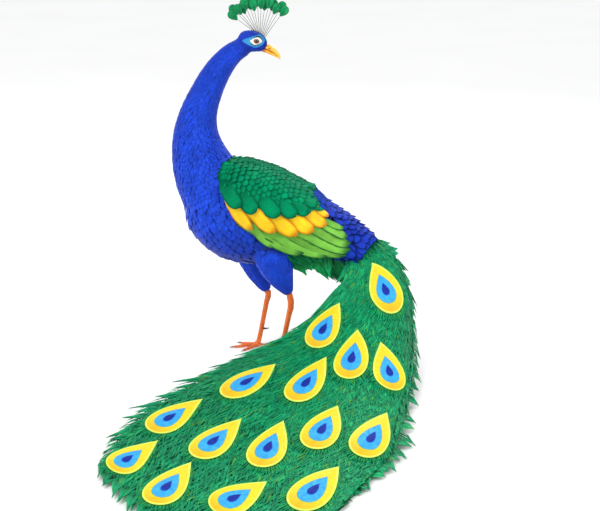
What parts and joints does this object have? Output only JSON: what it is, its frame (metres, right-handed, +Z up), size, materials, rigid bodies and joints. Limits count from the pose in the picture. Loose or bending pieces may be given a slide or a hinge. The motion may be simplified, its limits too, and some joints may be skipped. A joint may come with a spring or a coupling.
{
  "type": "peacock model",
  "caption": "Life-size still model of an Indian peacock that stands with its head turned back and its long train swept down and round in front of its feet.",
  "frame": {"origin": "The middle of the underside of the whole model's bounding box, on the floor that the feet and the train rest on.", "axes": "+Z is up. The breast faces -X and the bill, turned back over the body, points to +X. The bird's left side is towards -Y, and the train lies out in that direction."},
  "size_m": [0.751, 1.1526, 0.9181],
  "materials": {
    "blue_plumage": "satin, deep cobalt feathers with an iridescent sheen",
    "rump_plumage": "satin, scale feathers with dark rims",
    "green_plumage": "satin, green covert feathers",
    "golden_plumage": "matt, golden feather vanes",
    "leaf_plumage": "matt, light green flight feathers",
    "train_plumage": "satin, loose green barbs with eyespots",
    "tail_plumage": "matt, stiff brown quills",
    "crest_plumage": "satin, bare shafts with green fans",
    "bill_horn": "smooth horn",
    "leg_scutes": "horny scutes",
    "claw_horn": "polished dark horn",
    "eye_glass": "wet gloss over a brown iris"
  },
  "bodies": {
    "root": {"head": "blue_plumage", "bill_upper": "bill_horn", "bill_lower": "bill_horn", "eye_left": "eye_glass", "eye_right": "eye_glass", "crest": "crest_plumage", "neck_upper": "blue_plumage", "neck_middle": "blue_plumage", "neck_lower": "blue_plumage", "trunk": "blue_plumage", "rump": "rump_plumage", "undertail": "train_plumage", "tail": "tail_plumage", "thigh_left": "blue_plumage", "shank_left": "leg_scutes", "foot_left": "leg_scutes", "spur_left": "claw_horn", "claw_left_inner": "claw_horn", "claw_left_middle": "claw_horn", "claw_left_outer": "claw_horn", "claw_left_back": "claw_horn", "wing_left_coverts": "green_plumage", "wing_left_band": "golden_plumage", "wing_left_quills": "leaf_plumage", "thigh_right": "blue_plumage", "shank_right": "leg_scutes", "foot_right": "leg_scutes", "spur_right": "claw_horn", "claw_right_inner": "claw_horn", "claw_right_middle": "claw_horn", "claw_right_outer": "claw_horn", "claw_right_back": "claw_horn", "wing_right_coverts": "green_plumage", "wing_right_band": "golden_plumage", "wing_right_quills": "leaf_plumage", "train_root": "train_plumage", "train_fall": "train_plumage", "train_bend": "train_plumage", "train_sweep": "train_plumage", "train_end": "train_plumage"}
  },
  "joints": []
}
